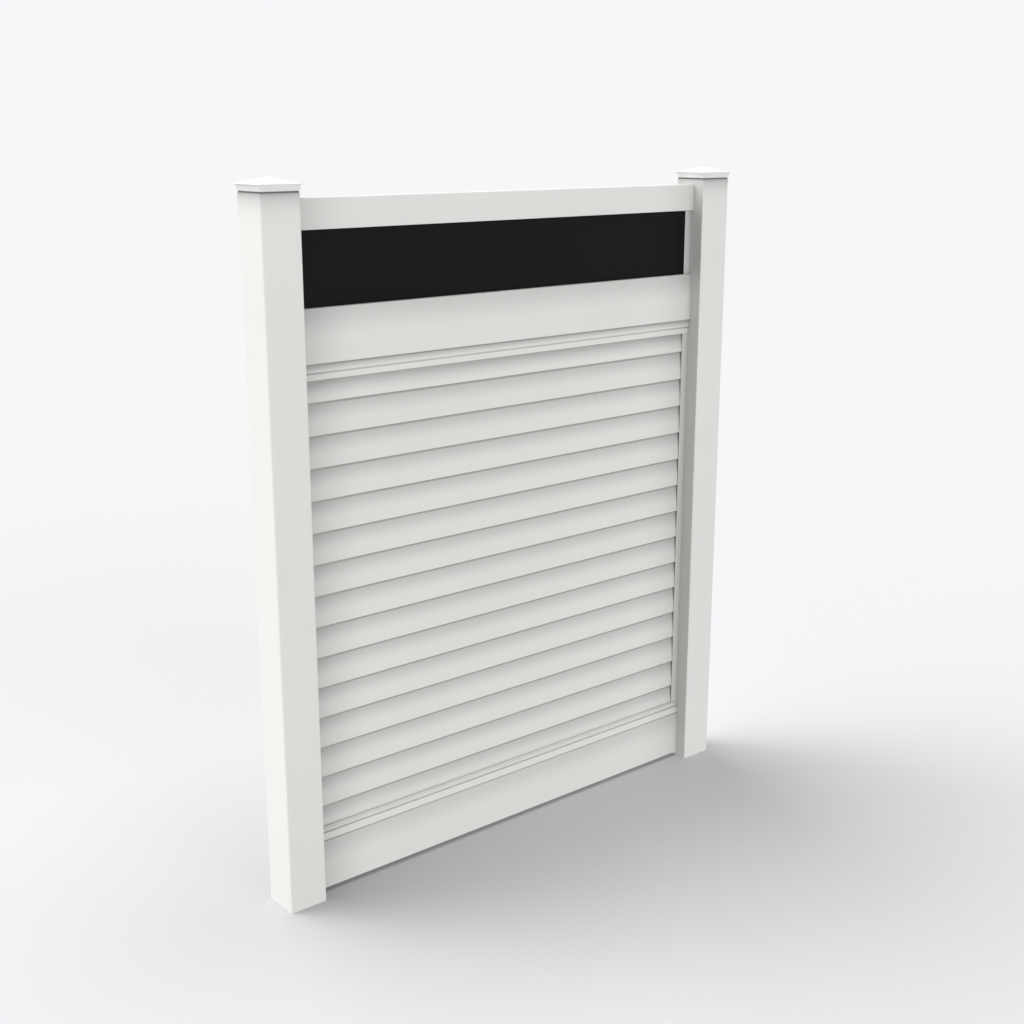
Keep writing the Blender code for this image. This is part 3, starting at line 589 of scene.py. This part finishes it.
def slat_outlines(ripped):
    """Outside and chambers of a slat. The ripped one is cut open through its upper chamber."""
    slot_front = slat_front(SHOULDER) - FIT_GAP
    slot_back = slot_front + TONGUE_THICKNESS + 2 * FIT_GAP
    slot_top = DRIP_DROP + TONGUE_HEIGHT
    drip_back = DRIP_THICKNESS - SLAT_DEPTH / 2
    lip_centre = (SLAT_LIP_RADIUS - SLAT_DEPTH / 2, SLAT_LIP_RADIUS)
    rib = SHOULDER * SLAT_RIB_SHARE
    floor = DRIP_DROP + SLAT_WALL
    above_slot = floor + TONGUE_HEIGHT
    foot = np.concatenate([
        [(slat_back(DRIP_DROP), DRIP_DROP), (slot_back, DRIP_DROP), (slot_back, slot_top)],
        [(slot_front, slot_top), (slot_front, DRIP_DROP), (drip_back, DRIP_DROP), (drip_back, 0.0)],
        arc(lip_centre, SLAT_LIP_RADIUS, -QUARTER, -2 * QUARTER),
    ])
    lower = np.array([
        (slat_front(floor) + SLAT_WALL, floor),
        (slat_front(rib) + SLAT_WALL, rib),
        (slat_back(rib) - SLAT_WALL, rib),
        (slat_back(above_slot) - SLAT_WALL, above_slot),
        (slot_front - SLAT_WALL, above_slot),
        (slot_front - SLAT_WALL, floor),
    ])
    if ripped:
        trough = slat_hollow(rib + SLAT_WALL, CREST)[::-1]
        edges = [(slat_front(CREST), CREST)], trough, [(slat_back(CREST), CREST)]
        return [np.concatenate([foot, *edges]), lower]
    front = slat_front(SHOULDER)
    tip = SHOULDER + TONGUE_HEIGHT
    crest_centre = (slat_back(SHOULDER) - SLAT_CREST_RADIUS, SHOULDER - SLAT_CREST_RADIUS)
    head = np.concatenate([
        [(front, SHOULDER), (front, tip - TONGUE_CHAMFER), (front + TONGUE_CHAMFER, tip)],
        [(front + TONGUE_THICKNESS - TONGUE_CHAMFER, tip)],
        [(front + TONGUE_THICKNESS, tip - TONGUE_CHAMFER), (front + TONGUE_THICKNESS, SHOULDER)],
        arc(crest_centre, SLAT_CREST_RADIUS, QUARTER, 0.0),
    ])
    return [np.concatenate([foot, head]), lower, slat_hollow(rib + SLAT_WALL, SHOULDER - SLAT_WALL)]


def painted_shade_below_lip(tree, place):
    """Painted shade on each slat's upper part, under the lip of the one above: the same rise at every
    pitch, with a deep line at the lip. The top slat's is deeper under the mid rail. The ends have it too."""
    level = height_of(tree, place)
    above = worked(tree, "SUBTRACT", level, LOWEST_LIP)
    within = worked(tree, "FLOORED_MODULO", above, SLAT_PITCH)
    slope = rise(tree, within, *SLOPE_SPAN, SLOPE_TONE)
    line = rise(tree, within, *LINE_SPAN, LINE_TONE)
    head = rise(tree, level, MID_RAIL_FOOT - HEAD_REACH, MID_RAIL_FOOT, HEAD_TONE)
    return summed(tree, slope, line, head, painted_shade_by_posts(tree, place))


slat_vinyl = extruded_vinyl("slat_vinyl", DRAWN_ALONG_X, painted_shade_below_lip)
for number in range(1, SLAT_COUNT + 1):
    foot = LOWEST_LIP + (SLAT_COUNT - number) * SLAT_PITCH
    slat_shells = along_x(bar(slat_outlines(number == 1), -SLAT_END, SLAT_END), foot)
    slat_node = f"louvre_slat_{number:02d}"
    make_piece(f"vinyl_slat_{number:02d}", slat_shells, slat_vinyl, [slat_node])

# Mid rail: the same extrusion as the bottom rail, with its pocket downward over the top slat. Its
# upper edge is grooved for the accent panel.
GROOVE_HALF = 0.00475
GROOVE_DEPTH = 0.0127
MID_RAIL_TOP = MID_RAIL_FOOT + MOULDED_HEIGHT
# Painted shade on the mid rail: darker towards the top of its face and on the coved band under it.
EDGE_SPAN = (MID_RAIL_TOP - 0.097, MID_RAIL_TOP + 0.005)
EDGE_TONE = 0.42
COVE_TONE = 0.75


def painted_shade_below_panel(tree, place):
    """Painted shade on the mid rail: the upper part of its face, the coved band under it, both quirks,
    and the ends.
    """
    level = height_of(tree, place)
    face = rise(tree, level, *EDGE_SPAN, EDGE_TONE)
    band = under_edge(tree, level, MID_RAIL_FOOT + STEP_LEVEL, COVE_BAND, COVE_TONE)
    quirks = painted_quirk_shade(tree, level, face, [MID_RAIL_FOOT + head for head in (STEP_LEVEL, LIP_BAND)])
    return summed(tree, quirks, band, painted_shade_by_posts(tree, place))


mid_vinyl = extruded_vinyl("mid_rail_vinyl", DRAWN_ALONG_X, painted_shade_below_panel)
mid_outlines = moulded_rail(GROOVE_HALF, GROOVE_DEPTH)
mid_rail_shells = along_x(bar(mid_outlines, -RAIL_END, RAIL_END), MID_RAIL_FOOT)
make_piece("vinyl_mid_rail", mid_rail_shells, mid_vinyl, ["mid_rail"])

# Accent panel: a black multiwall sheet of vinyl, 8.9 mm thick, dropped into the groove of the mid
# rail and held down by the groove of the top rail. Its satin skin is calendered.
BLACK_PALE = (0.0062, 0.0055, 0.0065, 1.0)
BLACK_DEEP = (0.0045, 0.004, 0.0048, 1.0)
BLACK_SPECULAR = 0.08
BLACK_GLOSS = (0.46, 0.54)
BLACK_CLOUDS = 6.0
BLACK_DETAIL = 3.0
PEBBLES = 1400.0
PEBBLE_RELIEF = (0.3, 0.00008)


def dress_panel():
    """Black sheet with a slow cloudy tone and a pebbled skin too fine to see from a step away."""
    material, tree = new_tree("black_vinyl")
    place = add_node(tree, "ShaderNodeTexCoord").outputs["Object"]
    cloud = noise(tree, place, BLACK_CLOUDS, BLACK_DETAIL)
    colour = blended(tree, cloud, BLACK_DEEP, BLACK_PALE)
    rough = ranged(tree, cloud, *NOISE_SPAN, *BLACK_GLOSS)
    skin = relief(tree, noise(tree, place, PEBBLES), *PEBBLE_RELIEF)
    finish_with(tree, colour, rough, skin, **{"Specular IOR Level": BLACK_SPECULAR})
    return material


dress_nodes(["accent_panel"], dress_panel())

# Top rail: a plain 38 x 89 mm hollow extrusion of white vinyl with eased edges, closed over the
# accent panel, which stands in the groove of its underside.
TOP_RAIL_FOOT = 2.0668
TOP_RAIL_HEIGHT = 0.0889
TOP_RADIUS = 0.004
TOP_FOOT_RADIUS = 0.002


def top_rail_side(growth=0.0):
    """The outer side from foot to head, with both radii grown by an allowance."""
    foot_centre = (RAIL_HALF - TOP_FOOT_RADIUS, TOP_FOOT_RADIUS)
    head_centre = (RAIL_HALF - TOP_RADIUS, TOP_RAIL_HEIGHT - TOP_RADIUS)
    foot = arc(foot_centre, TOP_FOOT_RADIUS + growth, -QUARTER, 0.0)
    return np.concatenate([foot, arc(head_centre, TOP_RADIUS + growth, 0.0, QUARTER)])


# The top rail has painted shade only near the posts.
top_vinyl = extruded_vinyl("top_rail_vinyl", DRAWN_ALONG_X, painted_shade_by_posts)
top_inner = RAIL_HALF - RAIL_WALL
top_liner = GROOVE_HALF + RAIL_WALL
top_chamber = mirrored([
    (top_liner, GROOVE_DEPTH + RAIL_WALL),
    (top_liner, RAIL_WALL),
    (top_inner, RAIL_WALL),
    (top_inner, TOP_RAIL_HEIGHT - TOP_RADIUS),
    (top_inner - TOP_RADIUS / 2, TOP_RAIL_HEIGHT - RAIL_WALL),
])
top_groove = [(GROOVE_HALF, GROOVE_DEPTH), (GROOVE_HALF, 0.0)]
top_outlines = [mirrored(top_groove, top_rail_side()), top_chamber]
top_rail_shells = along_x(bar(top_outlines, -RAIL_END, RAIL_END), TOP_RAIL_FOOT)
make_piece("vinyl_top_rail", top_rail_shells, top_vinyl, ["top_rail"])

# Posts: 127 mm square tubes of co-extruded white vinyl with a 3.8 mm wall, slid over steel pipes
# set in the ground. The inner face of each has a hole routed to the section of each rail, and
# pilot holes for the screws of the channels.
POST_HALF = 0.0635
POST_WALL = 0.0038
POST_RADIUS = 0.0055
POST_INNER_RADIUS = 0.0017
POST_TOP = 2.1729
POST_CENTRE = BAY_WIDTH / 2 + POST_HALF
PILOT_RADIUS = 0.0024
PILOT_STEPS = 12
LOWER_SCREW_MARGIN = 0.075
LOWER_SCREW_COUNT = 5
UPPER_SCREW_MARGIN = 0.045
UPPER_SCREW_COUNT = 2
DRAWN_ALONG_Z = (1.0, 1.0, 0.012)
SIDES = (("left", -1), ("right", 1))
# Painted shade on the posts: darker under the cap, darkest along the rim, and on the bay side.
SHELTER_REACH = 0.15
SHELTER_POWER = 5.0
SHELTER_TONE = 0.72
RIM_REACH = 0.01
RIM_TONE = 0.2
INWARD_TONE = 0.52
INWARD_LIMIT = BAY_WIDTH / 2 + 0.001


def rounded_square(half, radius):
    """A square whose corners are quarter circles, from the foot of its -X side round to its head."""
    reach = half - radius
    corners = [(-reach, -reach), (reach, -reach), (reach, reach), (-reach, reach)]
    starts = [(turn + 2) * QUARTER for turn in range(4)]
    return np.concatenate([arc(c, radius, start, start + QUARTER) for c, start in zip(corners, starts)])


def moulded_route():
    """The hole routed for a moulded rail: its outside without the quirks, a fit gap larger."""
    slant = math.hypot(COVE_HEAD - COVE_FOOT, COVE_BAND) / COVE_BAND * FIT_GAP
    far_centre = (RAIL_HALF - MOULDED_RADIUS, MOULDED_HEIGHT - MOULDED_RADIUS)
    steps = [
        (LIP_HALF + FIT_GAP, -FIT_GAP),
        (LIP_HALF + FIT_GAP, LIP_BAND - FIT_GAP),
        (COVE_FOOT + slant, LIP_BAND - FIT_GAP),
        (COVE_HEAD + slant, STEP_LEVEL - FIT_GAP),
        (RAIL_HALF + FIT_GAP, STEP_LEVEL - FIT_GAP),
    ]
    return mirrored(steps, arc(far_centre, MOULDED_RADIUS + FIT_GAP, 0.0, QUARTER))


def screw_levels():
    """The heights of the screws: evenly spaced between two rails, a margin clear of each."""
    low = BOTTOM_RAIL_FOOT + MOULDED_HEIGHT + LOWER_SCREW_MARGIN
    lower = np.linspace(low, MID_RAIL_FOOT - LOWER_SCREW_MARGIN, LOWER_SCREW_COUNT)
    high = TOP_RAIL_FOOT - UPPER_SCREW_MARGIN
    upper = np.linspace(MID_RAIL_TOP + UPPER_SCREW_MARGIN, high, UPPER_SCREW_COUNT)
    return [*lower, *upper]


def post_shells():
    """The right post. Three sides and the four corners are walls carried up from the plan, and the
    inner side is a plate with its holes, cut through to the hollow."""
    outside = rounded_square(POST_HALF, POST_RADIUS) + (POST_CENTRE, 0.0)
    inside = rounded_square(POST_HALF - POST_WALL, POST_INNER_RADIUS) + (POST_CENTRE, 0.0)
    loops = [outside, inside[::-1]]
    shells = [wall(loop, 0.0, POST_TOP, closed=False) for loop in loops]
    shells += [plate(loops, 0.0, False), plate(loops, POST_TOP, True)]
    turned = moulded_route() * (1, -1) + (0, MOULDED_HEIGHT)
    holes = [turned + (0, BOTTOM_RAIL_FOOT), moulded_route() + (0, MID_RAIL_FOOT)]
    holes.append(mirrored(top_rail_side(FIT_GAP)) + (0, TOP_RAIL_FOOT))
    for level in screw_levels():
        holes.append(arc((0.0, level), PILOT_RADIUS, 0.0, 4 * QUARTER, PILOT_STEPS)[:-1])
    holes = [wound(hole, hole=True) for hole in holes]
    cut = [wall(hole, 0.0, POST_WALL) for hole in holes]
    outer_half, inner_half = POST_HALF - POST_RADIUS, POST_HALF - POST_WALL - POST_INNER_RADIUS
    for half, at, up in ((outer_half, 0.0, False), (inner_half, POST_WALL, True)):
        side = np.array([(-half, 0.0), (half, 0.0), (half, POST_TOP), (-half, POST_TOP)])
        cut.append(plate([side] + holes, at, up))
    face = (BAY_WIDTH / 2, 0.0, 0.0)
    return shells + [(points + face, faces) for points, faces in along_x(cut)]


def painted_shade_below_cap(tree, place):
    """Painted shade on the post: at its head, where the share falls off as the fifth power of the way
    down and is deepest along the rim, and on the side that faces the bay."""
    level = height_of(tree, place)
    way = ranged(tree, level, POST_TOP - SHELTER_REACH, POST_TOP)
    head = worked(tree, "MULTIPLY", worked(tree, "POWER", way, SHELTER_POWER), SHELTER_TONE)
    head = summed(tree, head, rise(tree, level, POST_TOP - RIM_REACH, POST_TOP, RIM_TONE))
    across = worked(tree, "ABSOLUTE", measured(tree, place, "X"))
    inward = worked(tree, "MULTIPLY", worked(tree, "LESS_THAN", across, INWARD_LIMIT), INWARD_TONE)
    return worked(tree, "MAXIMUM", head, inward)


post_vinyl = extruded_vinyl("post_vinyl", DRAWN_ALONG_Z, painted_shade_below_cap)
for word, side in SIDES:
    make_piece(f"vinyl_{word}_post", post_shells(), post_vinyl, [f"{word}_post"], side)

# Channels and screws: white vinyl U-channels screwed to the posts' inner faces, between the rails,
# hold the ends of the slats and of the accent panel. The screws are zinc-plated pan heads.
ZINC = (0.56, 0.57, 0.58, 1.0)
ZINC_GLOSS = (0.25, 0.4)
ZINC_MARKS = 1500.0
UNDRAWN = (1.0, 1.0, 1.0)
channels = [f"{word}_{part}_channel" for word, _ in SIDES for part in ("lower", "upper")]
# The channels take the post vinyl, and with it its painted shade on all that faces the bay.
dress_nodes(channels, post_vinyl)
screws = [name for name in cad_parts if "screw" in name]
dress_nodes(screws, dress_metal("screw_steel", ZINC, UNDRAWN, ZINC_MARKS, ZINC_GLOSS))

# Post caps: moulded white vinyl, a low pyramid with a thin eave on a flared skirt. Under the skirt
# a neck stands on the post's rim, leaving a gap of 5 mm round the top of the post whose dark line is
# partly the gap's real shade and partly painted shade on the neck, and a spigot reaches down inside it.
CAP_WALL = 0.0022
CAP_REVEAL = 0.005
SKIRT_HEIGHT = 0.0175
FOOT_OVERHANG = 0.0003
FLARE_OVERHANG = 0.0035
EAVE_OVERHANG = 0.0075
EAVE_THICKNESS = 0.0015
EAVE_RADIUS = 0.0015
EAVE_HALF = POST_HALF + EAVE_OVERHANG
EAVE_TOP = SKIRT_HEIGHT + EAVE_THICKNESS
PYRAMID_RISE = 0.0195
PEAK_HALF = 0.0008
SPIGOT_CLEARANCE = 0.002
SPIGOT_HALF = POST_HALF - POST_WALL - FIT_GAP
SPIGOT_FOOT = TOP_RAIL_FOOT + TOP_RAIL_HEIGHT + SPIGOT_CLEARANCE - POST_TOP - CAP_REVEAL
NECK_HALF = POST_HALF - CAP_WALL
NECK_FOOT = FIT_GAP - CAP_REVEAL
EASE = 0.0004
CAP_PALE = (0.88, 0.875, 0.87, 1.0)
CAP_DEEP = (0.86, 0.855, 0.85, 1.0)
# Painted shade on the neck, which deepens the dark line of the reveal.
NECK_PAINTED_SHADE = (0.16, 0.16, 0.165, 1.0)
CAP_GLOSS = (0.3, 0.38)
CAP_WAVES = 60.0
CAP_GRAINS = 2200.0
CAP_GRAIN_SHARE = 0.2
CAP_RELIEF = (0.2, 0.0001)


def cap_rings():
    """Half width, height above the skirt's foot and corner radius of each ring: from the peak down
    the outside, under the skirt, down the neck and the spigot, and up the inside."""
    slope = PYRAMID_RISE / (EAVE_HALF - PEAK_HALF)
    bore = SPIGOT_HALF - CAP_WALL
    bore_head = EAVE_TOP - CAP_WALL + (EAVE_HALF - bore) * slope
    return [
        (PEAK_HALF, EAVE_TOP + PYRAMID_RISE, PEAK_HALF / 2),
        (EAVE_HALF - EASE, EAVE_TOP + EASE * slope / 2, EAVE_RADIUS),
        (EAVE_HALF, EAVE_TOP - EASE, EAVE_RADIUS),
        (EAVE_HALF, SKIRT_HEIGHT + EASE, EAVE_RADIUS),
        (EAVE_HALF - EASE, SKIRT_HEIGHT, EAVE_RADIUS),
        (POST_HALF + FLARE_OVERHANG, SKIRT_HEIGHT, POST_RADIUS),
        (POST_HALF + FOOT_OVERHANG, 0.0, POST_RADIUS),
        (NECK_HALF, 0.0, POST_RADIUS / 2),
        (NECK_HALF, NECK_FOOT, POST_RADIUS / 2),
        (SPIGOT_HALF, NECK_FOOT, POST_INNER_RADIUS),
        (SPIGOT_HALF, SPIGOT_FOOT, POST_INNER_RADIUS),
        (bore, SPIGOT_FOOT, POST_INNER_RADIUS),
        (bore, bore_head, POST_INNER_RADIUS),
        (PEAK_HALF, EAVE_TOP + PYRAMID_RISE - CAP_WALL, PEAK_HALF / 2),
    ]


def cap_shells():
    """The right cap: its rings as a grid, closed by a small plate at each of its two peaks."""
    centre = (POST_CENTRE, 0.0)
    loops = [(rounded_square(half, radius) + centre, height) for half, height, radius in cap_rings()]
    foot = POST_TOP + CAP_REVEAL
    grid = np.stack([np.column_stack([loop, np.full(len(loop), height + foot)]) for loop, height in loops])
    rows, count = grid.shape[:2]
    row, here = np.meshgrid(np.arange(rows - 1), np.arange(count), indexing="ij")
    corner, after = row * count + here, row * count + (here + 1) % count
    skin = np.stack([corner, corner + count, after + count, after], -1).reshape(-1, 4)
    peaks = [plate([loops[at][0]], loops[at][1] + foot, up) for at, up in ((0, True), (-1, False))]
    return [(grid.reshape(-1, 3), skin)] + peaks


def moulded_vinyl():
    """White vinyl from a polished mould: a little glossier than the posts, with the faint
    unevenness of an injected wall. On the neck, below the skirt, painted shade darkens it."""
    material, tree = new_tree("cap_vinyl")
    place = add_node(tree, "ShaderNodeTexCoord").outputs["Object"]
    wave = noise(tree, place, CAP_WAVES)
    grain = noise(tree, place, CAP_GRAINS)
    colour = blended(tree, wave, CAP_DEEP, CAP_PALE)
    neck = worked(tree, "LESS_THAN", height_of(tree, place), POST_TOP + CAP_REVEAL - EASE)
    colour = blended(tree, neck, colour, NECK_PAINTED_SHADE, "MULTIPLY")
    rough = ranged(tree, grain, *NOISE_SPAN, *CAP_GLOSS)
    height = worked(tree, "MULTIPLY_ADD", grain, CAP_GRAIN_SHARE, wave)
    finish_with(tree, colour, rough, relief(tree, height, *CAP_RELIEF), IOR=VINYL_IOR)
    return material


cap_finish = moulded_vinyl()
for word, side in SIDES:
    make_piece(f"moulded_{word}_cap", cap_shells(), cap_finish, [f"{word}_post_cap"], side)
